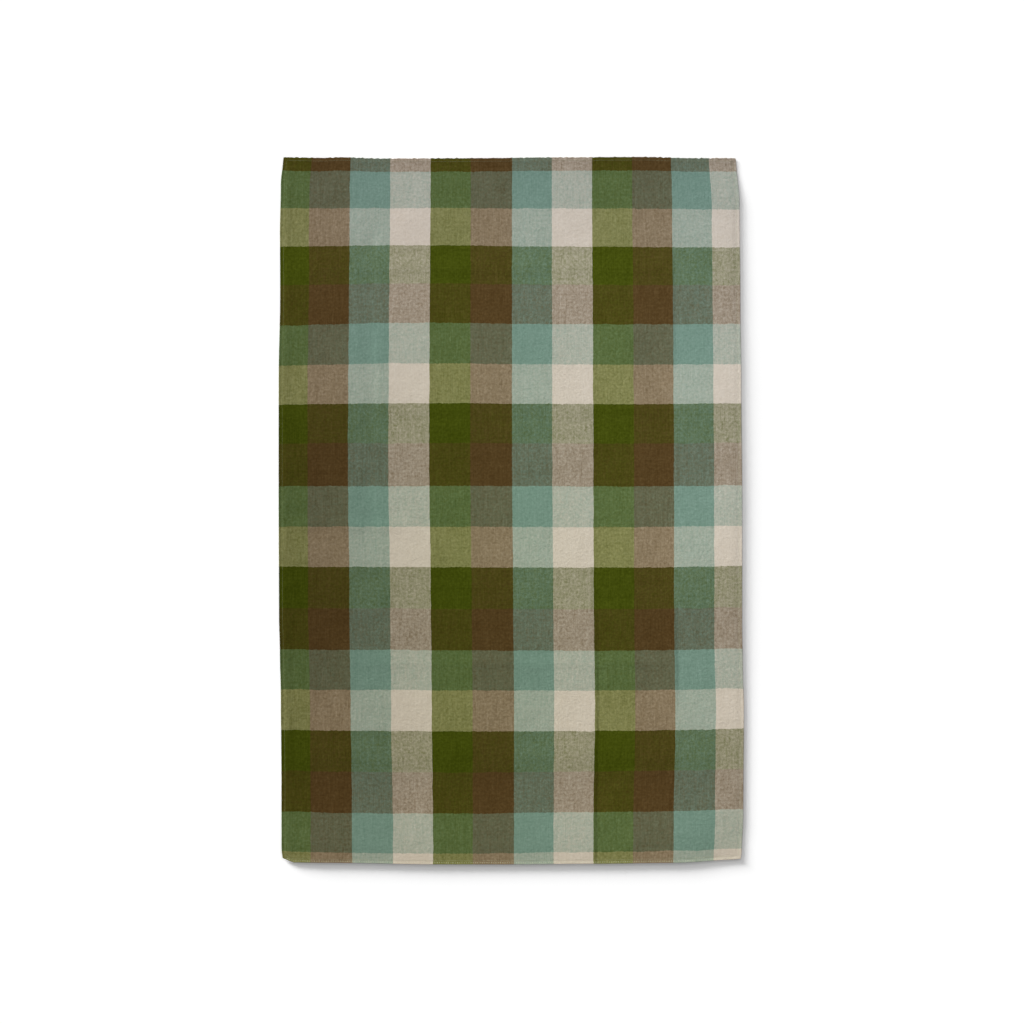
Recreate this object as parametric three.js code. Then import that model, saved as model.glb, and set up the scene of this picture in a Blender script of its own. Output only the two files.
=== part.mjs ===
// A woven check tablecloth lying face up on a table or floor, hemmed on all four sides.
// Its width runs along X and its length along Y. The flat part of its underside is the plane Z = 0,
// and the origin is the middle of its outline on that plane. All sizes are in millimetres.
import * as THREE from 'three';

// Driving dimensions
const WIDTH = 1500; // finished width, hem to hem
const LENGTH = 2300; // finished length, hem to hem
const CLOTH_THICKNESS = 1.2; // one layer of the cloth
const HEM_WIDTH = 12; // narrow hem, turned under twice
const HEM_THICKNESS = 2.2; // the three pressed layers of the hem
const HEM_STEP = 4; // the top falls from the hem to the single layer over this width
const CURL_REACH = 300; // how far in from a side its curl begins
const CREASE_FADE = 70; // a crease dies away over this length at each end
const WIDEST_CELL = 90; // widest facet of the faceted cloth
const NARROWEST_CELL = 3;

const HALF_WIDTH = WIDTH / 2;
const HALF_LENGTH = LENGTH / 2;

// How far each side wanders outward from its straight line, and how far it curls up off the table.
// "along" runs from the middle of the side towards +X or +Y. A negative "out" draws the side in.
const LEFT_SIDE = [
  { along: -1150, out: -3, curl: 2 },
  { along: -900, out: -2, curl: 0 },
  { along: -610, out: 0, curl: 0.5 },
  { along: -470, out: 3, curl: 0 },
  { along: -340, out: 6, curl: 0 },
  { along: 100, out: 7, curl: 1 },
  { along: 430, out: 7, curl: 0 },
  { along: 720, out: 2, curl: 0.5 },
  { along: 900, out: 3, curl: 0 },
  { along: 1060, out: 0, curl: 0 },
  { along: 1150, out: -8, curl: 1 },
];
const RIGHT_SIDE = [
  { along: -1150, out: 1, curl: 4.2 },
  { along: -1000, out: 7, curl: 5.5 },
  { along: -650, out: 9, curl: 6 },
  { along: -500, out: 5, curl: 7.1 },
  { along: -380, out: 3, curl: 7.8 },
  { along: 20, out: 3, curl: 8.4 },
  { along: 420, out: 0, curl: 8.1 },
  { along: 680, out: -3, curl: 7.2 },
  { along: 1000, out: -5, curl: 6 },
  { along: 1150, out: -16, curl: 0.8 },
];
const TOP_SIDE = [
  { along: -750, out: 2, curl: 1 },
  { along: -620, out: 0, curl: 0 },
  { along: -560, out: 2, curl: 0.4 },
  { along: -420, out: -2, curl: 0 },
  { along: -130, out: -1, curl: 0.4 },
  { along: 180, out: 2, curl: 0 },
  { along: 440, out: 3, curl: 0.4 },
  { along: 610, out: -1, curl: 0 },
  { along: 750, out: -1, curl: 1.5 },
];
const BOTTOM_SIDE = [
  { along: -750, out: -4, curl: 5.5 },
  { along: -600, out: -3, curl: 8 },
  { along: -250, out: 2, curl: 8.6 },
  { along: 0, out: 2, curl: 8.3 },
  { along: 270, out: 0, curl: 8.6 },
  { along: 530, out: -3, curl: 8.6 },
  { along: 750, out: -14, curl: 5.6 },
];

// Corners that the two hems pull in to a round: the corner itself moves in by "pullX" and "pullY".
const SOFT_CORNERS = [
  { sideX: -1, sideY: -1, pullX: 3.5, pullY: 14, reach: 38 },
  { sideX: 1, sideY: -1, pullX: 2, pullY: 2, reach: 20 },
  { sideX: -1, sideY: 1, pullX: 1, pullY: 1, reach: 15 },
  { sideX: 1, sideY: 1, pullX: 1.5, pullY: 1.5, reach: 15 },
];

// Press creases left from folding. A ridge stands up along the crease, and at a trough the cloth
// swells on both sides of a crease that touches the table.
const CREASES = [
  { shape: 'trough', runs: 'Y', at: -452, from: -160, to: 980, height: 1, halfWidth: 18 },
  { shape: 'trough', runs: 'Y', at: 390, from: 40, to: 380, height: 0.6, halfWidth: 14 },
  { shape: 'trough', runs: 'Y', at: 390, from: 480, to: 880, height: 0.6, halfWidth: 14 },
  { shape: 'ridge', runs: 'X', at: 790, from: -745, to: 560, height: 0.9, halfWidth: 40 },
  { shape: 'trough', runs: 'X', at: 292, from: -420, to: 560, height: 0.6, halfWidth: 16 },
  { shape: 'ridge', runs: 'X', at: -50, from: -750, to: -270, height: 0.9, halfWidth: 30 },
  { shape: 'ridge', runs: 'X', at: -498, from: -600, to: 600, height: 0.8, halfWidth: 32 },
  { shape: 'ridge', runs: 'X', at: -800, from: -740, to: 740, height: 0.9, halfWidth: 60 },
];
const SWELL_TO_CREASE = 4; // a trough's swells reach this many half widths to each side

// Smooth curve through one column of a side's table.
function curveThrough(rows, column) {
  const stations = rows.map((row) => row.along);
  const values = rows.map((row) => row[column]);
  const curve = new THREE.CubicInterpolant(stations, values, 1);
  return (along) => curve.evaluate(along)[0];
}

const side = (rows) => ({ out: curveThrough(rows, 'out'), curl: curveThrough(rows, 'curl') });
const left = side(LEFT_SIDE);
const right = side(RIGHT_SIDE);
const top = side(TOP_SIDE);
const bottom = side(BOTTOM_SIDE);

// 1 at the middle of a bump, falling smoothly to 0 at a distance of 1 and beyond.
const bump = (distance) => (1 - Math.min(distance * distance, 1)) ** 2;

// Where a point of the flat rectangular cloth lies once its sides wander and its corners pull in.
function outlinePlace(x, y) {
  const across = (x + HALF_WIDTH) / WIDTH;
  const up = (y + HALF_LENGTH) / LENGTH;
  let placeX = x + THREE.MathUtils.lerp(-left.out(y), right.out(y), across);
  let placeY = y + THREE.MathUtils.lerp(-bottom.out(x), top.out(x), up);
  for (const corner of SOFT_CORNERS) {
    const fromCornerX = HALF_WIDTH - corner.sideX * x;
    const fromCornerY = HALF_LENGTH - corner.sideY * y;
    const share = Math.max(0, 1 - Math.hypot(fromCornerX, fromCornerY) / corner.reach);
    placeX -= corner.sideX * corner.pullX * share;
    placeY -= corner.sideY * corner.pullY * share;
  }
  return [placeX, placeY];
}

// Height of the curl at a distance in from a side: it begins at CURL_REACH and is full at the hem.
function curlAt(height, fromSide) {
  return height * THREE.MathUtils.smoothstep(CURL_REACH - fromSide, 0, CURL_REACH);
}

function creaseHeight(crease, x, y) {
  const [across, along] = crease.runs === 'Y' ? [x, y] : [y, x];
  const toEnd = Math.min(along - crease.from, crease.to - along);
  const fade = THREE.MathUtils.smoothstep(toEnd, 0, CREASE_FADE);
  const distance = (across - crease.at) / crease.halfWidth;
  const profile = crease.shape === 'ridge'
    ? bump(distance)
    : bump(distance / SWELL_TO_CREASE) - bump(distance);
  return crease.height * fade * profile;
}

// Height of the cloth's underside above the table.
function undersideHeight(x, y) {
  const curls = [
    curlAt(left.curl(y), x + HALF_WIDTH),
    curlAt(right.curl(y), HALF_WIDTH - x),
    curlAt(bottom.curl(x), y + HALF_LENGTH),
    curlAt(top.curl(x), HALF_LENGTH - y),
  ];
  const creases = CREASES.map((crease) => creaseHeight(crease, x, y));
  return Math.max(0, ...curls, ...creases);
}

// The hem is three layers thick, and the rest of the cloth is one.
function thickness(x, y) {
  const fromHem = Math.min(HALF_WIDTH - Math.abs(x), HALF_LENGTH - Math.abs(y)) - HEM_WIDTH;
  const single = THREE.MathUtils.smoothstep(fromHem, 0, HEM_STEP);
  return THREE.MathUtils.lerp(HEM_THICKNESS, CLOTH_THICKNESS, single);
}

// Grid lines across one direction: at the hems, over the curls and creases, and evenly between.
function gridLines(half, creasesAcross) {
  const fromSide = [0, HEM_WIDTH, HEM_WIDTH + HEM_STEP, CURL_REACH / 3, CURL_REACH * 0.62, CURL_REACH];
  const wanted = fromSide.flatMap((distance) => [distance - half, half - distance]);
  for (const { shape, at, halfWidth } of creasesAcross) {
    const reaches = shape === 'ridge' ? [0, 0.5, 1] : [0, 0.5, 1, SWELL_TO_CREASE / 2, SWELL_TO_CREASE];
    wanted.push(...reaches.flatMap((reach) => [at - reach * halfWidth, at + reach * halfWidth]));
  }
  wanted.sort((a, b) => a - b);
  const kept = wanted.filter((line, i) => i === 0 || line - wanted[i - 1] >= NARROWEST_CELL);
  return kept.flatMap((line, i) => {
    const gap = i + 1 < kept.length ? kept[i + 1] - line : 0;
    const cells = Math.max(1, Math.ceil(gap / WIDEST_CELL));
    return Array.from({ length: cells }, (_, k) => line + (gap * k) / cells);
  });
}

function makeCloth() {
  const columns = gridLines(HALF_WIDTH, CREASES.filter((crease) => crease.runs === 'Y'));
  const rows = gridLines(HALF_LENGTH, CREASES.filter((crease) => crease.runs === 'X'));
  const columnCells = columns.length - 1;
  const rowCells = rows.length - 1;
  const sheet = new THREE.BoxGeometry(columnCells, rowCells, 1, columnCells, rowCells, 1);
  const { position } = sheet.attributes;
  for (let i = 0; i < position.count; i++) {
    const x = columns[Math.round(position.getX(i) + columnCells / 2)];
    const y = rows[Math.round(position.getY(i) + rowCells / 2)];
    const isTop = position.getZ(i) > 0;
    const [placeX, placeY] = outlinePlace(x, y);
    const height = undersideHeight(x, y) + (isTop ? thickness(x, y) : 0);
    position.setXYZ(i, placeX, placeY, height);
  }
  sheet.computeBoundingBox();
  const middle = sheet.boundingBox.getCenter(new THREE.Vector3());
  sheet.translate(-middle.x, -middle.y, 0);
  sheet.computeVertexNormals();
  return sheet;
}

const material = new THREE.MeshStandardMaterial({ color: '#70725a', roughness: 0.92, metalness: 0 });
const tablecloth = new THREE.Mesh(makeCloth(), material);
tablecloth.name = 'tablecloth';

const group = new THREE.Group();
group.add(tablecloth);

export default group;
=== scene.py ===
import math

import bmesh
import bpy
from mathutils import Matrix, Vector, noise


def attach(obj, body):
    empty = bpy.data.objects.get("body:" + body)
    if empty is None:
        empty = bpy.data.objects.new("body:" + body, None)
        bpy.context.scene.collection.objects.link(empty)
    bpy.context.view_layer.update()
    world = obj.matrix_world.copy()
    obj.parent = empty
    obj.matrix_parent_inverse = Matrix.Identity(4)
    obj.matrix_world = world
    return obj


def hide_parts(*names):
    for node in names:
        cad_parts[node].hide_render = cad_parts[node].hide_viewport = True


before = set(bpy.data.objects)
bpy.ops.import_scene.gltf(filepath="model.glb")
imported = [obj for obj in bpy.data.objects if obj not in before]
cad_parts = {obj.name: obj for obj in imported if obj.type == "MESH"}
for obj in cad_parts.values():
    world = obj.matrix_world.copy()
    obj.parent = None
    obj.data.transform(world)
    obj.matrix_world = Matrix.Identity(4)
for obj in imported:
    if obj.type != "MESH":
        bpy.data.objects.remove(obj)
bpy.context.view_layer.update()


# --------------------------------------------------------------------------------------------------
# The cloth: one panel of check, plain-woven in dyed linen and cotton yarn and cut with an allowance
# all round. The hems are turned under twice and pressed, with mitred corners. The cloth lies face
# up, as it was unfolded.
# --------------------------------------------------------------------------------------------------
WIDTH, LENGTH = 1.500, 2.300  # finished, hem to hem
CLOTH = 0.00045  # thickness of one layer
LAYER_GAP = 0.00015  # air between the layers of a hem
HEM = 0.0125  # finished width of a hem
HEM_HEIGHT = 3 * CLOTH + 2 * LAYER_GAP
OUTER_FOLD = HEM_HEIGHT / 2  # radius of the hem's outer edge
INNER_FOLD = CLOTH + LAYER_GAP / 2  # radius of the hem's tucked edge
RAW_EDGE = 0.0008  # the raw edge stops this far short of the outer fold
FOLD_CELLS = 4  # facets round each fold of a hem
CELL = 0.0130  # widest cell of the cloth
CREASE_CELL = 0.0060  # cells across a crease
MITRE = 0.022  # a hem narrows into its mitred corner over this length
HEM_BLEND = 0.006  # one hem's relief passes into the next over this far each side of the mitre
CLEARANCE = 0.00030  # the lowest layer lies this far above the table, on its stitches
LOFT = 0.0010  # and the cloth between the hems lies this much higher still, on its own unevenness
HEM_EASE = 0.045  # the cloth settles from the hem to that level over this width
CLOSEST = 0.0004  # grid lines nearer than this to the next are left out
ROUNDING = 1e-6  # lines nearer than this are the same line

HALF_WIDTH, HALF_LENGTH = WIDTH / 2, LENGTH / 2

# How the stitching has shaped the face of each hem: how far it stands above a flat pressed hem, or
# below one.
LEFT, RIGHT, BOTTOM, TOP = 1, 2, 3, 4  # columns
HEM_RELIEF = (
    # in from the edge, left, right, bottom, top
    (0.0008, 0.00036, 0.00012, 0.00036, 0.0),
    (0.0015, 0.00035, 0.00012, 0.00035, 0.0),
    (0.0026, 0.00028, 0.00010, 0.00028, -0.00001),
    (0.0050, -0.00003, 0.00003, 0.00002, 0.0),
    (0.0078, -0.00030, -0.00010, -0.00015, 0.00012),
    (0.0105, 0.00002, -0.00028, -0.00024, 0.00028),
    (0.0135, 0.00046, -0.00034, -0.00028, 0.00038),
    (0.0170, 0.00060, -0.00011, -0.00026, 0.00020),
    (0.0500, 0.0, 0.0, 0.0, 0.0),
)

# How each side lies: how far it wanders outward from a straight line, and how far its hem curls up,
# from the -X or -Y end of the side to the other.
OUT, CURL = 1, 2  # columns
LEFT_SIDE = (
    # y, out, curl
    (-1.150, -0.0030, 0.0020),
    (-0.900, -0.0020, 0.0000),
    (-0.610, 0.0000, 0.0004),
    (-0.470, 0.0030, 0.0000),
    (-0.340, 0.0060, 0.0000),
    (0.100, 0.0070, 0.0008),
    (0.430, 0.0070, 0.0000),
    (0.720, 0.0020, 0.0004),
    (0.900, 0.0030, 0.0000),
    (1.060, 0.0000, 0.0000),
    (1.150, -0.0080, 0.0010),
)
RIGHT_SIDE = (
    # y, out, curl
    (-1.150, 0.0010, 0.0042),
    (-1.000, 0.0070, 0.0055),
    (-0.650, 0.0090, 0.0060),
    (-0.500, 0.0050, 0.0071),
    (-0.380, 0.0030, 0.0078),
    (0.020, 0.0030, 0.0084),
    (0.420, 0.0000, 0.0081),
    (0.680, -0.0030, 0.0072),
    (1.000, -0.0050, 0.0060),
    (1.150, -0.0160, 0.0008),
)
TOP_SIDE = (
    # x, out, curl
    (-0.750, 0.0020, 0.0010),
    (-0.620, 0.0000, 0.0000),
    (-0.560, 0.0020, 0.0004),
    (-0.420, -0.0020, 0.0000),
    (-0.130, -0.0010, 0.0004),
    (0.180, 0.0020, 0.0000),
    (0.440, 0.0030, 0.0004),
    (0.610, -0.0010, 0.0000),
    (0.750, -0.0008, 0.0015),
)
BOTTOM_SIDE = (
    # x, out, curl
    (-0.750, -0.0040, 0.0055),
    (-0.600, -0.0030, 0.0080),
    (-0.250, 0.0020, 0.0086),
    (0.000, 0.0020, 0.0083),
    (0.270, 0.0000, 0.0086),
    (0.530, -0.0030, 0.0086),
    (0.750, -0.0140, 0.0056),
)

# How far the check drifts to the right as it runs up the cloth: near the left side, in the middle
# and near the right side.
WARP_DRIFT = (
    # y, left, middle, right
    (-1.150, 0.0095, 0.0035, -0.0020),
    (-1.050, 0.0090, 0.0034, -0.0018),
    (-0.650, 0.0029, 0.0041, 0.0050),
    (-0.250, -0.0008, 0.0008, 0.0014),
    (0.150, -0.0066, -0.0028, 0.0010),
    (0.550, -0.0044, -0.0028, -0.0008),
    (1.045, -0.0002, -0.0026, -0.0050),
    (1.150, 0.0005, -0.0026, -0.0060),
)
WARP_DRIFT_AT = (-0.55, 0.0, 0.55)  # where those three lie, as shares of the half width
# How far it drifts upward as it runs across, from low on the cloth to high on it.
WEFT_DRIFT = (
    # x, lowest, low, middle, high, highest
    (-0.708, 0.0045, 0.0011, -0.0007, -0.0050, 0.0000),
    (-0.594, 0.0007, -0.0005, 0.0005, -0.0012, 0.0011),
    (-0.400, -0.0026, 0.0003, -0.0010, 0.0036, 0.0033),
    (-0.196, -0.0030, -0.0021, 0.0005, 0.0037, 0.0041),
    (0.000, -0.0006, -0.0024, -0.0003, 0.0006, 0.0006),
    (0.202, 0.0025, -0.0033, -0.0010, -0.0003, -0.0004),
    (0.400, 0.0044, -0.0025, -0.0016, -0.0010, -0.0020),
    (0.594, 0.0075, 0.0004, 0.0003, -0.0008, -0.0033),
    (0.705, 0.0125, 0.0041, 0.0023, -0.0005, -0.0049),
)
WEFT_DRIFT_AT = (-0.967, -0.394, 0.071, 0.530, 0.750)  # and those five, of the half length

# Corners that the crossing hems pull in to a round.
SOFT_CORNERS = (
    # side in X, side in Y, pull across, pull along, reach
    (-1, -1, 0.0035, 0.0140, 0.038),
    (1, -1, 0.0020, 0.0020, 0.020),
    (-1, 1, 0.0010, 0.0010, 0.015),
    (1, 1, 0.0015, 0.0015, 0.015),
)

# Fold creases, pressed in while the cloth was packed: each rises above the cloth round it or sinks
# below it, and spreads further to one side than to the other.
CREASES = (
    # runs along, at, from, to, rise, spread towards -, spread towards +
    ("Y", -0.452, -0.160, 0.980, -0.0008, 0.045, 0.026),
    ("Y", 0.390, 0.040, 0.380, -0.0004, 0.024, 0.014),
    ("Y", 0.390, 0.480, 0.880, -0.0004, 0.024, 0.026),
    ("X", 0.790, -0.745, 0.560, 0.0007, 0.034, 0.050),
    ("X", 0.292, -0.420, 0.560, -0.0004, 0.020, 0.030),
    ("X", -0.050, -0.760, -0.270, 0.0008, 0.026, 0.034),
    ("X", -0.498, -0.600, 0.600, 0.0005, 0.024, 0.042),
    ("X", -0.800, -0.740, 0.740, 0.0008, 0.052, 0.074),
)
CREASE_FADE = 0.120  # a crease dies away over this length at each end
CREASE_UNEVEN = 0.9, 0.09  # its height varies by this share of itself, over this length
CREASE_WANDER = 0.010, 0.16  # and it wanders sideways by this much, over this length
RISE_REACH = 0.300  # how far in from a side the cloth begins to rise towards its edge
# Soft swells all over: how high, how long across and how long along the cloth.
SWELLS = (
    # height, across, along
    (0.0011, 0.230, 0.300),
    (0.0004, 0.085, 0.110),
)
RIPPLE = 0.0026  # the top edge is drawn in and out this far by its stitching
RIPPLE_LIFT = 0.00035  # it lifts this far
RIPPLE_LENGTH = 0.010
RIPPLE_REACH = 0.020  # the ripples die away this far in from the edge
RIPPLE_CUTS = 2  # cells there are cut this many times more


def blend_between(start, end, share):
    return start + (end - start) * share


def smooth_step(value, low, high):
    share = min(max((value - low) / (high - low), 0.0), 1.0)
    return share * share * (3 - 2 * share)


def read_column(rows, at, column):
    """A smooth curve through one column of a table whose first column is the place."""
    if at <= rows[0][0]:
        return rows[0][column]
    for before, after in zip(rows, rows[1:]):
        if at <= after[0]:
            share = smooth_step(at, before[0], after[0])
            return blend_between(before[column], after[column], share)
    return rows[-1][column]


def bump(distance):
    """1 at the middle of a bump, falling smoothly to 0 at a distance of 1 and beyond."""
    return (1 - min(distance * distance, 1.0)) ** 2


def in_plane(x, y):
    """Where a point of the straight, flat cloth lies on the table."""
    across = [
        (-1.0, -read_column(LEFT_SIDE, y, OUT)),
        *((at, read_column(WARP_DRIFT, y, column)) for column, at in enumerate(WARP_DRIFT_AT, 1)),
        (1.0, read_column(RIGHT_SIDE, y, OUT)),
    ]
    up = [
        (-1.0, -read_column(BOTTOM_SIDE, x, OUT)),
        *((at, read_column(WEFT_DRIFT, x, column)) for column, at in enumerate(WEFT_DRIFT_AT, 1)),
        (1.0, read_column(TOP_SIDE, x, OUT)),
    ]
    drift = read_column(across, x / HALF_WIDTH, 1), read_column(up, y / HALF_LENGTH, 1)
    place = Vector((x + drift[0], y + drift[1], 0))
    for side_x, side_y, pull_across, pull_along, reach in SOFT_CORNERS:
        from_corner = math.hypot(HALF_WIDTH - side_x * x, HALF_LENGTH - side_y * y)
        share = max(0.0, 1 - from_corner / reach)
        place -= Vector((side_x * pull_across, side_y * pull_along, 0)) * share
    return place


def rise_height(x, y):
    """How high an edge that has lifted off the table carries the cloth beside it."""
    lifts = (
        (read_column(LEFT_SIDE, y, CURL), x + HALF_WIDTH),
        (read_column(RIGHT_SIDE, y, CURL), HALF_WIDTH - x),
        (read_column(BOTTOM_SIDE, x, CURL), y + HALF_LENGTH),
        (read_column(TOP_SIDE, x, CURL), HALF_LENGTH - y),
    )
    return max(
        height * smooth_step(RISE_REACH - from_side, 0.0, RISE_REACH) for height, from_side in lifts
    )


def swell_height(x, y):
    # The last number of a noise's place sets it apart from the others, here and below.
    return sum(
        height * noise.noise(Vector((x / across, y / along, number)))
        for number, (height, across, along) in enumerate(SWELLS)
    )


def crease_height(x, y):
    total = 0.0
    for runs, at, start, end, rise, before, after in CREASES:
        across, along = (x, y) if runs == "Y" else (y, x)
        if not (start < along < end and at - before < across < at + after):
            continue
        own = at * 10  # sets each crease's unevenness apart
        fade = smooth_step(min(along - start, end - along), 0.0, CREASE_FADE)
        share, length = CREASE_UNEVEN
        uneven = 1 + share * noise.noise(Vector((along / length, own, 5.0)))
        reach, length = CREASE_WANDER
        wander = reach * noise.noise(Vector((along / length, own, 9.0)))
        distance = across - at - wander
        total += rise * fade * uneven * bump(distance / (after if distance > 0 else before))
    return total


def hem_relief(x, y):
    """How far the face of a hem stands above a flat one, by which side it is on."""
    from_side, from_end = HALF_WIDTH - abs(x), HALF_LENGTH - abs(y)
    on_side = read_column(HEM_RELIEF, from_side, LEFT if x < 0 else RIGHT)
    on_end = read_column(HEM_RELIEF, from_end, BOTTOM if y < 0 else TOP)
    return blend_between(on_end, on_side, smooth_step(from_end - from_side, -HEM_BLEND, HEM_BLEND))


def hem_section(beyond, half):
    """A hem's section, so much cloth beyond the line where the outer fold begins: how far out the
    face lies, how high, and how much of the hem's relief that layer takes."""
    outer_centre = half - OUTER_FOLD
    inner_centre = half - HEM + INNER_FOLD
    if beyond <= 0:
        return outer_centre + beyond, HEM_HEIGHT, 1.0
    turn = beyond / OUTER_FOLD
    if turn <= math.pi:
        up = 1 + math.cos(turn)
        return outer_centre + OUTER_FOLD * math.sin(turn), OUTER_FOLD * up, up / 2
    beyond -= math.pi * OUTER_FOLD
    strip = outer_centre - inner_centre
    if beyond <= strip:
        return outer_centre - beyond, 0.0, 0.0
    turn = (beyond - strip) / INNER_FOLD
    if turn <= math.pi:
        up = 1 - math.cos(turn)
        return inner_centre - INNER_FOLD * math.sin(turn), INNER_FOLD * up, 0.0
    return inner_centre + beyond - strip - math.pi * INNER_FOLD, 2 * INNER_FOLD, 0.5


HEM_STRIP = HEM - OUTER_FOLD - INNER_FOLD  # the flat of a hem between its two folds
# Cloth beyond the line where the outer fold begins.
ALLOWANCE = math.pi * (OUTER_FOLD + INNER_FOLD) + 2 * HEM_STRIP - RAW_EDGE


def fold_hems(u, v):
    """The folded place and height of a point of the flat cut cloth, u across and v along."""
    side_x, side_y = math.copysign(1, u), math.copysign(1, v)
    start_x, start_y = HALF_WIDTH - OUTER_FOLD, HALF_LENGTH - OUTER_FOLD
    x, height, give = hem_section(abs(u) - start_x, HALF_WIDTH)
    y, height_y, give_y = hem_section(abs(v) - start_y, HALF_LENGTH)
    if abs(u) > start_x + ROUNDING:  # a side hem, mitred towards its ends
        y -= (start_x - x) * smooth_step(y, HALF_LENGTH - MITRE, start_y)
    elif abs(v) > start_y + ROUNDING:  # a top or bottom hem
        x -= (start_y - y) * smooth_step(x, HALF_WIDTH - MITRE, start_x)
        height, give = height_y, give_y
    else:
        from_edge = min(HALF_WIDTH - x, HALF_LENGTH - y)
        settled = smooth_step(from_edge, HEM, HEM + HEM_EASE)
        height, give = blend_between(HEM_HEIGHT, CLOTH + LOFT, settled), 1.0
    x, y = x * side_x, y * side_y
    return x, y, height + give * hem_relief(x, y)


def lie(x, y, height):
    """Where a point of the folded cloth comes to lie on the table."""
    from_edge = min(HALF_WIDTH - abs(x), HALF_LENGTH - abs(y))
    relief = max(crease_height(x, y) + swell_height(x, y), -LOFT)
    relief *= smooth_step(from_edge, 0.0, HEM_EASE)
    place = in_plane(x, y)
    place.z = CLEARANCE + height + rise_height(x, y) + relief
    if y > HALF_LENGTH - RIPPLE_REACH:
        ripple = noise.noise(Vector((x / RIPPLE_LENGTH, 0.0, 3.0)))
        lift = noise.noise(Vector((x / RIPPLE_LENGTH, 0.0, 7.0)))
        near = bump((HALF_LENGTH - y) / RIPPLE_REACH)
        place += Vector((0, RIPPLE * ripple, RIPPLE_LIFT * (1 + lift))) * near
    return place


def hem_lines(half):
    """Grid lines of one hem, measured from the cloth's middle: its relief, folds and strips."""
    facets = [math.pi * number / FOLD_CELLS for number in range(FOLD_CELLS + 1)]
    start = half - OUTER_FOLD
    outer = [start + OUTER_FOLD * turn for turn in facets]
    inner = [outer[-1] + HEM_STRIP + INNER_FOLD * turn for turn in facets]
    relief = [half - row[0] for row in HEM_RELIEF[1:]]
    return [*relief, *outer, *inner, start + ALLOWANCE]


def grid_lines(half, creases_across):
    """All the grid lines across one direction of the cut cloth, from one raw edge to the other."""
    wanted = [side * line for side in (-1, 1) for line in hem_lines(half)]
    for _, at, _, _, _, before, after in creases_across:
        count = math.ceil((before + after) / CREASE_CELL)
        wanted += [at - before + (before + after) * number / count for number in range(count + 1)]
    wanted.sort()
    gaps = [after - line for line, after in zip(wanted, wanted[1:])] + [math.inf]
    wanted = [line for line, gap in zip(wanted, gaps) if gap > CLOSEST]
    lines = []
    for line, following in zip(wanted, wanted[1:] + wanted[-1:]):
        cells = max(1, math.ceil((following - line) / CELL))
        lines += [line + (following - line) * number / cells for number in range(cells)]
    return lines


columns = grid_lines(HALF_WIDTH, [crease for crease in CREASES if crease[0] == "Y"])
rows = grid_lines(HALF_LENGTH, [crease for crease in CREASES if crease[0] == "X"])
cut_width, cut_length = columns[-1] - columns[0], rows[-1] - rows[0]

# The cut cloth, flat, with a grid line at each fold of its hems.
cloth_mesh = bmesh.new()
bmesh.ops.create_grid(
    cloth_mesh, x_segments=len(columns) - 1, y_segments=len(rows) - 1, size=0.5
)
flat = cloth_mesh.loops.layers.uv.new("Weave")  # metres of the flat cut cloth, from its middle
bake = cloth_mesh.loops.layers.uv.new("OFBake")  # face and back side by side, for the baked maps
for vert in cloth_mesh.verts:
    column = round((vert.co.x + 0.5) * (len(columns) - 1))
    row = round((vert.co.y + 0.5) * (len(rows) - 1))
    vert.co = (columns[column], rows[row], 0)
rippled = [
    edge
    for edge in cloth_mesh.edges
    if min(vert.co.y for vert in edge.verts) > HALF_LENGTH - RIPPLE_REACH
    and abs(edge.verts[0].co.y - edge.verts[1].co.y) < ROUNDING
]
bmesh.ops.subdivide_edges(cloth_mesh, edges=rippled, cuts=RIPPLE_CUTS)
for face in cloth_mesh.faces:
    for loop in face.loops:
        u, v, _ = loop.vert.co
        loop[flat].uv = (u, v)
        loop[bake].uv = ((0.5 + u / cut_width) / 2, 0.5 + v / cut_length)

# It is folded and laid, without the squares that the mitres cut away, and then given its thickness.
corner_squares = [
    face
    for face in cloth_mesh.faces
    if all(
        abs(vert.co.x) > HALF_WIDTH - OUTER_FOLD - ROUNDING
        and abs(vert.co.y) > HALF_LENGTH - OUTER_FOLD - ROUNDING
        for vert in face.verts
    )
]
for vert in cloth_mesh.verts:
    vert.co = lie(*fold_hems(vert.co.x, vert.co.y))
bmesh.ops.delete(cloth_mesh, geom=corner_squares, context="FACES")
bmesh.ops.remove_doubles(cloth_mesh, verts=cloth_mesh.verts, dist=ROUNDING)
face_side = set(cloth_mesh.faces)
bmesh.ops.solidify(cloth_mesh, geom=cloth_mesh.faces[:], thickness=CLOTH)
for face in cloth_mesh.faces:
    face.smooth = True
    if face not in face_side:
        for loop in face.loops:
            loop[bake].uv.x += 0.5
cloth_data = bpy.data.meshes.new("tablecloth_woven")
cloth_mesh.to_mesh(cloth_data)
cloth_mesh.free()
cloth = bpy.data.objects.new("tablecloth_woven", cloth_data)
bpy.context.scene.collection.objects.link(cloth)
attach(cloth, "root")
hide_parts("tablecloth")


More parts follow.
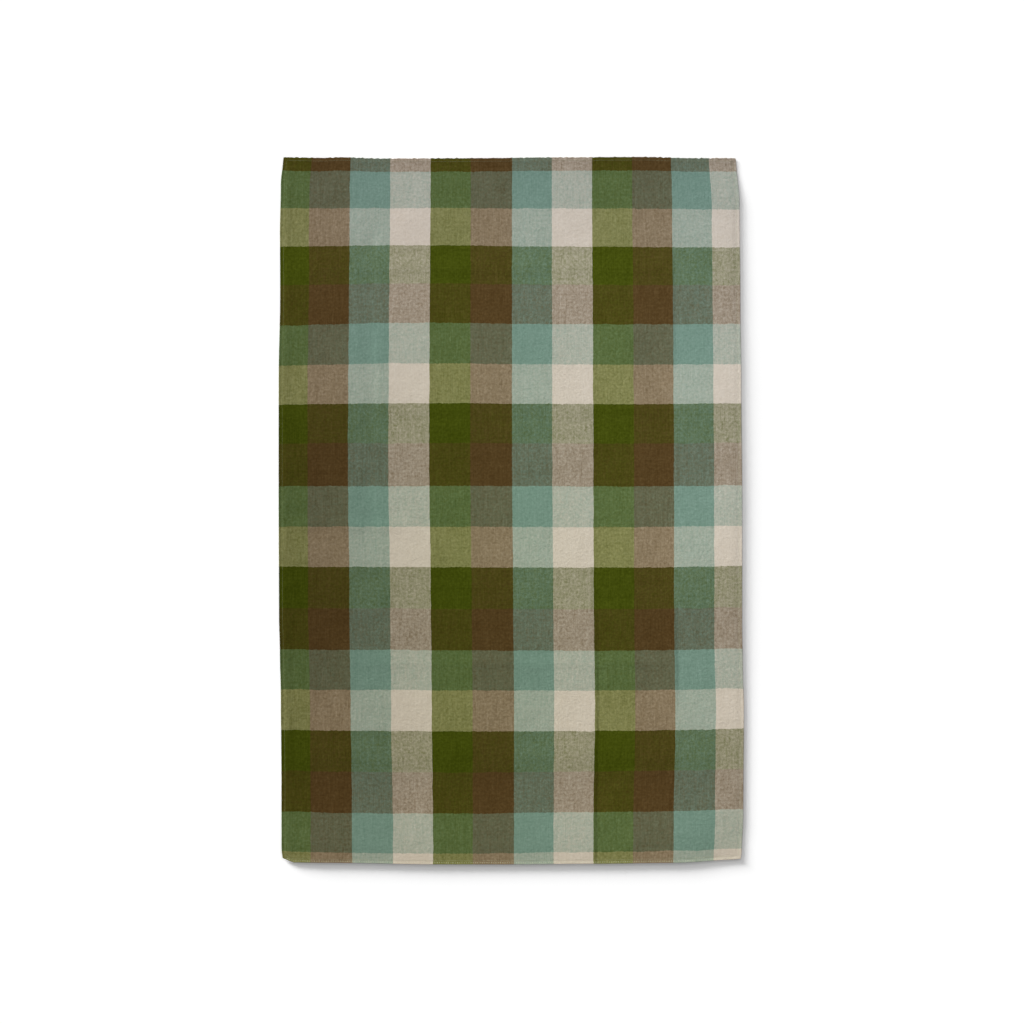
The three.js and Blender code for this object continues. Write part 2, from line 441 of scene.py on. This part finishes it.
class Socket:
    """A shader socket. Sums on it add Math nodes to its tree, and node() adds any other node."""

    def __init__(self, tree, socket=None):
        self.tree = tree
        self.socket = socket

    def node(self, kind, settings=(), values=(), output=0):
        made = self.tree.nodes.new(kind)
        for name, value in dict(settings).items():
            setattr(made, name, value)
        for name, value in dict(values).items():
            if isinstance(value, Socket):
                self.tree.links.new(value.socket, made.inputs[name])
            else:
                made.inputs[name].default_value = value
        return Socket(self.tree, made.outputs[output]) if made.outputs else None

    def other(self, output):
        """Another output of the same node."""
        return Socket(self.tree, self.socket.node.outputs[output])

    def math(self, operation, *terms):
        return self.node("ShaderNodeMath", {"operation": operation}, enumerate(terms))

    def vector(self, operation, *terms):
        return self.node("ShaderNodeVectorMath", {"operation": operation}, enumerate(terms))

    def __add__(self, other):
        return self.math("ADD", self, other)

    def __sub__(self, other):
        return self.math("SUBTRACT", self, other)

    def __rsub__(self, other):
        return self.math("SUBTRACT", other, self)

    def __mul__(self, other):
        return self.math("MULTIPLY", self, other)

    def __truediv__(self, other):
        return self.math("DIVIDE", self, other)

    def __rtruediv__(self, other):
        return self.math("DIVIDE", other, self)

    __radd__ = __add__
    __rmul__ = __mul__

    def mix(self, first, second):
        """The first colour where this mask is 0 and the second where it is 1."""
        values = {0: self, 6: first, 7: second}  # 6, 7 and 2 are the node's sockets for colours
        return self.node("ShaderNodeMix", {"data_type": "RGBA"}, values, output=2)


def start_material(name):
    """A material with nothing in its tree yet, and the tree to add to."""
    material = bpy.data.materials.new(name)
    material.use_nodes = True
    material.node_tree.nodes.clear()
    return material, Socket(material.node_tree)


WARP_PITCH = 0.00090  # one warp yarn, running along the cloth
WEFT_PITCH = 0.00090  # one weft yarn, running across it
YARN_COLOURS = (
    (0.0541, 0.0693, 0.0048, 1.0),  # olive green
    (0.0850, 0.0500, 0.0164, 1.0),  # brown
    (0.1640, 0.2600, 0.2030, 1.0),  # grey-green
    (0.5680, 0.5050, 0.4130, 1.0),  # cream
)
GREEN, BROWN = 0, 1  # places in that table
# Stripes in the order they are warped, left to right, and woven, from the top down. No two dyeings
# of a colour came out quite alike, so each stripe is a little paler or deeper than its colour.
WARP_STRIPES = (
    # yarns, paler by
    (107, 0.000),
    (146, -0.006),
    (146, 0.000),
    (147, 0.012),
    (147, -0.011),
    (150, -0.003),
    (145, 0.001),
    (147, 0.009),
    (146, 0.021),
    (144, 0.005),
    (144, -0.007),
    (103, -0.014),
)
WARP_FIRST = GREEN
WEFT_STRIPES = (
    # yarns, paler by
    (47, -0.005),
    (135, -0.030),
    (137, -0.008),
    (138, 0.026),
    (143, 0.010),
    (146, 0.006),
    (143, 0.018),
    (143, -0.038),
    (155, -0.030),
    (147, 0.035),
    (146, 0.045),
    (150, -0.020),
    (150, -0.036),
    (145, 0.010),
    (148, 0.040),
    (149, -0.010),
    (148, -0.033),
    (144, 0.012),
    (38, 0.009),
)
WEFT_FIRST = BROWN
WEFT_TINT = 0.273  # this much of the warp's colour, partly painted bounce light and shade
WARP_SHARE = 0.412  # share of the face that the warp covers
WEAVE_CONTRAST = 0.15  # one yarn shows this much more than the other where it passes over
WEAVE_TONE = 0.03  # and is this much deeper in tone
CRIMP = 0.00006  # and stands this much higher

# Unevenness of the yarns: how many patches to the metre across and along the cloth, a number that
# sets each kind apart, its levels of detail and its strength.
THICK_PLACES = (  # where the warp covers more of the face, as a share of it
    (120, 120, 1.0, 1.0, 0.60),  # slubs
    (330, 14, 2.0, 1.0, 0.30),  # single warp yarns
    (62, 11, 11.0, 2.0, 0.24),  # groups of warp yarns
    (11, 52, 12.0, 2.0, 0.14),  # groups of weft yarns
)
DYE_DEPTH = (  # where the dye is deeper, as a share of its depth
    (120, 120, 3.0, 1.0, 0.28),  # slubs
    (330, 12, 4.0, 1.0, 0.18),  # single warp yarns
    (12, 330, 5.0, 1.0, 0.08),  # single weft yarns
    (3, 45, 6.0, 1.0, 0.06),  # bands of weft
    (42, 30, 10.0, 2.0, 0.06),  # mottle
    (58, 9, 13.0, 2.0, 0.10),  # groups of warp yarns
    (9, 7, 7.0, 3.0, 0.07),  # clouds
)
HEIGHTS = (  # metres
    (120, 120, 9.0, 1.0, 0.0005),  # slubs
    (26, 26, 8.0, 2.0, 0.0008),  # crinkles of the cloth
)
# The yarns stray from straight, in long waves and short ones.
STRAY_WAVES = (
    # waves to the metre, reach across and along
    (16.0, (0.0040, 0.0060, 0.0)),
    (110.0, (0.0015, 0.0045, 0.0)),
)

# Painted light and shade over the whole cloth, for light that falls on it unevenly: painted shade
# deepens one patch, painted light pales it towards two opposite corners and painted shade deepens
# it towards the other two, and the light's tint, painted in, drifts in red and blue to the metre.
# There is also a warmer patch. A patch has its middle and its reach.
PAINTED_SHADE_PATCH = (-0.85, -0.16), (0.55, 0.68)
PAINTED_SHADE_DEPTH = 0.185
PAINTED_CORNER_LIGHT = -0.060  # painted light and shade, for each metre across times each metre along
# The light's tint, painted in as these drifts to the metre.
RED_ACROSS, RED_ALONG, BLUE_ALONG = -0.020, -0.010, 0.042
WARM_PATCH = (-0.14, -0.22), (0.52, 0.95)
WARM_PATCH_MEAN = 0.42  # what the patch comes to on average over the cloth
WARM_PATCH_TAKES = (0.030, 0.0, 0.075)  # from red, green and blue

# Lengthwise pressed edges, where two stripes meet: the cloth drops a little from side to side.
PRESSED = (
    # from, to, drop, middle along the cloth, reach along it
    (0.2700, 0.2845, 0.0017, -0.80, 0.50),
    (0.2700, 0.2845, 0.0004, 0.20, 0.55),
    (0.5285, 0.5450, 0.0017, -0.47, 0.15),
    (0.5285, 0.5400, 0.0009, 0.66, 0.18),
)

cloth_material, shade = start_material("check_weave")
place = weave_map = shade.node("ShaderNodeUVMap", {"uv_map": "Weave"})
for waves, reach in STRAY_WAVES:
    values = {"Vector": weave_map, "Scale": waves, "Detail": 2.0, "Roughness": 0.6}
    stray = shade.node("ShaderNodeTexNoise", {"noise_dimensions": "2D"}, values, output="Color")
    stray = shade.vector("SUBTRACT", stray, (0.5, 0.5, 0.5))
    place = shade.vector("ADD", place, shade.vector("MULTIPLY", stray, reach))
across = shade.node("ShaderNodeSeparateXYZ", values={"Vector": place})
along = across.other("Y")

warp_count = sum(yarns for yarns, _ in WARP_STRIPES)
weft_count = sum(yarns for yarns, _ in WEFT_STRIPES)
warp_place = across / WARP_PITCH + warp_count / 2
weft_place = weft_count / 2 - along / WEFT_PITCH
warp_yarn = shade.math("FLOOR", warp_place)
weft_yarn = shade.math("FLOOR", weft_place)


def yarn_colour(yarn, stripes, first):
    """The colour of a yarn, counted through the stripes, whose colours repeat in order, and how
    much paler its stripe is."""
    stripe, edge, paler = first, 0, stripes[0][1]
    for (yarns, here), (_, following) in zip(stripes, stripes[1:]):
        edge += yarns
        past = shade.math("GREATER_THAN", yarn, edge - 0.5)
        stripe = stripe + past
        paler = paler + past * (following - here)
    kind = shade.math("MODULO", stripe, len(YARN_COLOURS))
    colour = YARN_COLOURS[0]
    for number, following in enumerate(YARN_COLOURS[1:], 1):
        colour = shade.math("GREATER_THAN", kind, number - 0.5).mix(colour, following)
    return colour, paler


warp_colour, warp_paler = yarn_colour(warp_yarn, WARP_STRIPES, WARP_FIRST)
weft_colour, weft_paler = yarn_colour(weft_yarn, WEFT_STRIPES, WEFT_FIRST)


def uneven(kinds):
    """A table's kinds of unevenness together, each as much above nothing as below."""
    total = 0.0
    for scale_across, scale_along, number, detail, strength in kinds:
        values = {"X": across * scale_across, "Y": along * scale_along, "Z": number}
        spun = shade.node("ShaderNodeCombineXYZ", values=values)
        values = {"Vector": spun, "Scale": 1.0, "Detail": detail, "Roughness": 0.6}
        spun = shade.node("ShaderNodeTexNoise", {"noise_dimensions": "3D"}, values)
        total = (spun - 0.5) * strength + total
    return total


# Plain weave, over one and under one. Where a warp yarn runs thick it covers more of the face.
warp_wave = shade.math("SINE", (warp_place + 0.5) * math.pi)
weft_wave = shade.math("SINE", (weft_place + 0.5) * math.pi)
crossing = warp_wave * weft_wave
warp_share = crossing * WEAVE_CONTRAST + uneven(THICK_PLACES) + WARP_SHARE
# The weft takes in some warp colour: warp seen between its yarns, and painted bounce light and
# shade
weft_shown = shade.vector(
    "MULTIPLY",
    shade.vector("POWER", weft_colour, [1 - WEFT_TINT] * 3),
    shade.vector("POWER", warp_colour, [WEFT_TINT] * 3),
)
depth = 1 - uneven(DYE_DEPTH) - crossing * WEAVE_TONE
depth = shade.node("ShaderNodeCombineXYZ", values={"X": depth, "Y": depth, "Z": depth})
colour = shade.vector("POWER", warp_share.mix(weft_shown, warp_colour), depth)


def patch(middle, reach):
    """1 at the middle of a patch of the cloth, falling away over its reach."""
    off = (across - middle[0]) / reach[0], (along - middle[1]) / reach[1]
    return shade.math("EXPONENT", (off[0] * off[0] + off[1] * off[1]) * -1.0)


# Each stripe's own tone, painted shade in one patch, and painted light and shade to the corners.
pale = warp_paler + weft_paler + patch(*PAINTED_SHADE_PATCH) * -PAINTED_SHADE_DEPTH + across * along * PAINTED_CORNER_LIGHT + 1.0
warm = WARM_PATCH_MEAN - patch(*WARM_PATCH)
# The light's tint, painted in: less red towards the right and the top, bluer towards the top.
drifts = (across * RED_ACROSS + along * RED_ALONG, 0.0, along * BLUE_ALONG)
channels = [pale * (warm * taken + drift + 1.0) for taken, drift in zip(WARM_PATCH_TAKES, drifts)]
dye_and_painted_light = shade.node("ShaderNodeCombineXYZ", values=dict(enumerate(channels)))
colour = shade.vector("MULTIPLY", colour, dye_and_painted_light)

height = shade.math("ABSOLUTE", crossing) * CRIMP + uneven(HEIGHTS)
for start, end, drop, middle, reach in PRESSED:
    off = (along - middle) / reach
    fade = shade.math("EXPONENT", off * off * off * off * -1.0)
    values = {"Value": across, "From Min": start, "From Max": end, "To Min": 0.0, "To Max": drop}
    fallen = shade.node("ShaderNodeMapRange", {"interpolation_type": "SMOOTHSTEP"}, values)
    height = height - fallen * fade
relief = shade.node("ShaderNodeBump", values={"Strength": 1.0, "Distance": 1.0, "Height": height})
surface = shade.node(
    "ShaderNodeBsdfPrincipled",
    values={
        "Base Color": colour,
        "Roughness": 0.95,
        "Specular IOR Level": 0.0,
        "Normal": relief,
    },
)
shade.node("ShaderNodeOutputMaterial", values={"Surface": surface})
cloth_data.materials.append(cloth_material)


# --------------------------------------------------------------------------------------------------
# The hem stitching: lockstitch in beige cotton thread all round, through all the layers of the hem,
# its colour painted darker as shade at the left and the top. The bottom hem is also overcast by
# hand near its edge, in thread painted paler as light on its puckers. Every stitch shows on the
# face and on the back.
# --------------------------------------------------------------------------------------------------
THREAD = 0.00030  # thickness of the thread
PROUD = THREAD / 4  # the middle of a stitch stands this far above the hem
STITCHES_A_BATCH = 60  # added to the mesh together
PLIES = 900.0  # turns of the thread's plies to the metre
PLY_DEPTH = 0.0002  # of the grooves between them
# The plies are painted darker in their grooves and lighter on their crowns, as shade and light.
PLY_SHADES = 0.8, 1.2  # the darkest and the lightest of a ply, as shares of the thread's colour
# Rows sewn in the beige thread, with its colour painted darker as shade.
SHADED_THREAD_ROWS = (
    # side in X, side in Y, in from the edge, pitch, length along the edge, length across it, width
    (-1, 0, 0.0115, 0.0040, 0.0044, 0.0, 0.00050),
    (0, 1, 0.0105, 0.0040, 0.0044, 0.0, 0.00050),
)
BEIGE_ROWS = (
    (1, 0, 0.0105, 0.0040, 0.0044, 0.0, 0.00036),
    (0, -1, 0.0125, 0.0040, 0.0044, 0.0, 0.00036),
)
# The overcasting's thread colour is painted paler, as light on the puckers of the bottom hem.
OVERCAST_ROWS = ((0, -1, 0.0052, 0.0075, 0.0006, 0.0046, 0.0012),)


def sew(name, stitch_rows, colour):
    """One piece of stitching: its rows, on the face and on the back, in thread of one colour."""
    stitches = []
    for side_x, side_y, from_edge, pitch, along_edge, across_edge, width in stitch_rows:
        outward = Vector((side_x, side_y))
        forward = Vector((side_y, side_x))
        middle_of_side = Vector(
            (side_x * (HALF_WIDTH - from_edge), side_y * (HALF_LENGTH - from_edge))
        )
        half_run = (HALF_LENGTH if side_x else HALF_WIDTH) - HEM
        count = round(2 * half_run / pitch)
        reach = (forward * along_edge + outward * across_edge) / 2
        for number in range(count):
            middle = middle_of_side + forward * half_run * (2 * (number + 0.5) / count - 1)
            for height in (HEM_HEIGHT + hem_relief(*middle) + PROUD, 0.0):
                tail, head = (lie(*(middle + side * reach), height) for side in (-1, 1))
                stitches.append((tail, head, width))

    data = bpy.data.meshes.new(name)
    for first in range(0, len(stitches), STITCHES_A_BATCH):
        batch = bmesh.new()
        for tail, head, width in stitches[first:first + STITCHES_A_BATCH]:
            along_stitch = head - tail
            turn = along_stitch.to_track_quat("Z", "Y").to_matrix().to_4x4()
            size = Matrix.Diagonal((width, THREAD, along_stitch.length, 1.0))
            matrix = Matrix.Translation((tail + head) / 2) @ turn @ size
            bmesh.ops.create_uvsphere(batch, u_segments=6, v_segments=4, radius=0.5, matrix=matrix)
        if first:
            batch.from_mesh(data)
        batch.to_mesh(data)
        batch.free()
    for face in data.polygons:
        face.use_smooth = True
    stitching = bpy.data.objects.new(name, data)
    bpy.context.scene.collection.objects.link(stitching)
    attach(stitching, "root")

    material, thread = start_material(name)
    place = thread.node("ShaderNodeTexCoord", output="Object")
    values = {"Vector": place, "Scale": PLIES, "Detail": 1.0}
    ply = thread.node("ShaderNodeTexNoise", values=values)
    # Painted shade in the grooves between the plies and painted light on their crowns.
    dark, light = ([part * share for part in colour] + [1.0] for share in PLY_SHADES)
    values = {"Strength": 0.5, "Distance": PLY_DEPTH, "Height": ply}
    twist = thread.node("ShaderNodeBump", values=values)
    surface = thread.node(
        "ShaderNodeBsdfPrincipled",
        values={
            "Base Color": ply.mix(dark, light),
            "Roughness": 0.8,
            "Specular IOR Level": 0.2,
            "Normal": twist,
        },
    )
    thread.node("ShaderNodeOutputMaterial", values={"Surface": surface})
    data.materials.append(material)
    return stitching


stitchings = [
    # One beige thread: painted darker as shade at the left and top, paler as light on the
    # overcasting.
    sew("hem_stitching_shaded", SHADED_THREAD_ROWS, (0.190, 0.205, 0.120)),
    sew("hem_stitching_beige", BEIGE_ROWS, (0.36, 0.40, 0.24)),
    sew("hem_overcasting", OVERCAST_ROWS, (0.58, 0.64, 0.43)),
]


# --------------------------------------------------------------------------------------------------
# The table and the light: a plain white surface, two low soft keys from the upper left, a lamp
# above the right side and the light of the room itself.
# --------------------------------------------------------------------------------------------------
# Light on a flat surface in the middle, as shares that add up to 1.
KEYS = (
    # from, elevation, softness (degrees), share
    (138, 9, 14, 0.195),
    (125, 14, 22, 0.265),
)
KEY_SHARE = sum(share for _, _, _, share in KEYS)
LAMP_SHARE = 0.20
ROOM_SHARE = 1 - KEY_SHARE - LAMP_SHARE
LAMP_PLACE = Vector((0.40, 0.55, 1.6))
LAMP_SIZE = 0.8
FLOOR_SIZE = 14.0
FLOOR_SHOWN = 1.04  # the camera sees the open floor this bright, which is plain white
FLOOR_COLOUR = (0.9, 0.9, 0.9, 1.0)  # and this is what it throws back on the cloth

floor_mesh = bmesh.new()
bmesh.ops.create_grid(floor_mesh, x_segments=1, y_segments=1, size=FLOOR_SIZE / 2)
floor_data = bpy.data.meshes.new("floor")
floor_mesh.to_mesh(floor_data)
floor_mesh.free()
floor = bpy.data.objects.new("floor", floor_data)
bpy.context.scene.collection.objects.link(floor)


def seen_directly(tree):
    """1 for the camera's rays and for those that reach it by a mirror or through glass, else 0."""
    path = tree.node("ShaderNodeLightPath")
    seen = path
    for kind in ("Is Glossy Ray", "Is Transmission Ray"):
        seen = tree.math("MAXIMUM", seen, path.other(kind))
    return seen


# The table is painted paler where the lamp lights it less, so that it shows as one even white.
floor_material, table = start_material("white_table")
place = table.node("ShaderNodeTexCoord", output="Object")
values = {0: place, 1: LAMP_PLACE}
from_lamp = table.node("ShaderNodeVectorMath", {"operation": "DISTANCE"}, values, output="Value")
lamp_here = table.math("POWER", LAMP_PLACE.length / from_lamp, 4.0) * LAMP_SHARE
paint = FLOOR_SHOWN / (lamp_here + KEY_SHARE + ROOM_SHARE)
paint = table.node("ShaderNodeCombineColor", values={"Red": paint, "Green": paint, "Blue": paint})
lit = table.node("ShaderNodeBsdfDiffuse", values={"Color": FLOOR_COLOUR})
shown = table.node("ShaderNodeBsdfDiffuse", values={"Color": paint})
mixed = table.node("ShaderNodeMixShader", values={0: seen_directly(table), 1: lit, 2: shown})
table.node("ShaderNodeOutputMaterial", values={"Surface": mixed})
floor_data.materials.append(floor_material)

for turn, elevation, softness, share in KEYS:
    turn, elevation, softness = (math.radians(angle) for angle in (turn, elevation, softness))
    key_light = bpy.data.lights.new("key", "SUN")
    key_light.energy = share * math.pi / math.sin(elevation)
    key_light.angle = softness
    key = bpy.data.objects.new("key", key_light)
    towards = Vector((math.cos(turn), math.sin(turn), math.tan(elevation)))
    key.rotation_euler = towards.to_track_quat("Z", "Y").to_euler()
    bpy.context.scene.collection.objects.link(key)

lamp_light = bpy.data.lights.new("lamp", "AREA")
lamp_light.shape = "DISK"
lamp_light.size = LAMP_SIZE
lamp_light.energy = LAMP_SHARE * math.pi**2 * LAMP_PLACE.length**4 / LAMP_PLACE.z**2
lamp = bpy.data.objects.new("lamp", lamp_light)
lamp.location = LAMP_PLACE
lamp.visible_camera = False
bpy.context.scene.collection.objects.link(lamp)

world = bpy.data.worlds.new("studio")
world.use_nodes = True
world.node_tree.nodes.clear()
sky = Socket(world.node_tree)
strength = seen_directly(sky) * (1 - ROOM_SHARE) + ROOM_SHARE
background = sky.node("ShaderNodeBackground", values={"Color": (1, 1, 1, 1), "Strength": strength})
sky.node("ShaderNodeOutputWorld", values={"Surface": background})
bpy.context.scene.world = world
bpy.context.scene.view_settings.view_transform = "Standard"

# The camera looks straight down, with the cloth a little left of and above the middle.
CAMERA_PLACE = Vector((0.0036, -0.0045, 6.0))
SEEN_WIDTH = 3.3393  # how much of the table the camera takes in
camera_data = bpy.data.cameras.new("camera")
camera_data.lens = camera_data.sensor_width * CAMERA_PLACE.z / SEEN_WIDTH
camera = bpy.data.objects.new("camera", camera_data)
camera.location = CAMERA_PLACE
bpy.context.scene.collection.objects.link(camera)
bpy.context.scene.camera = camera
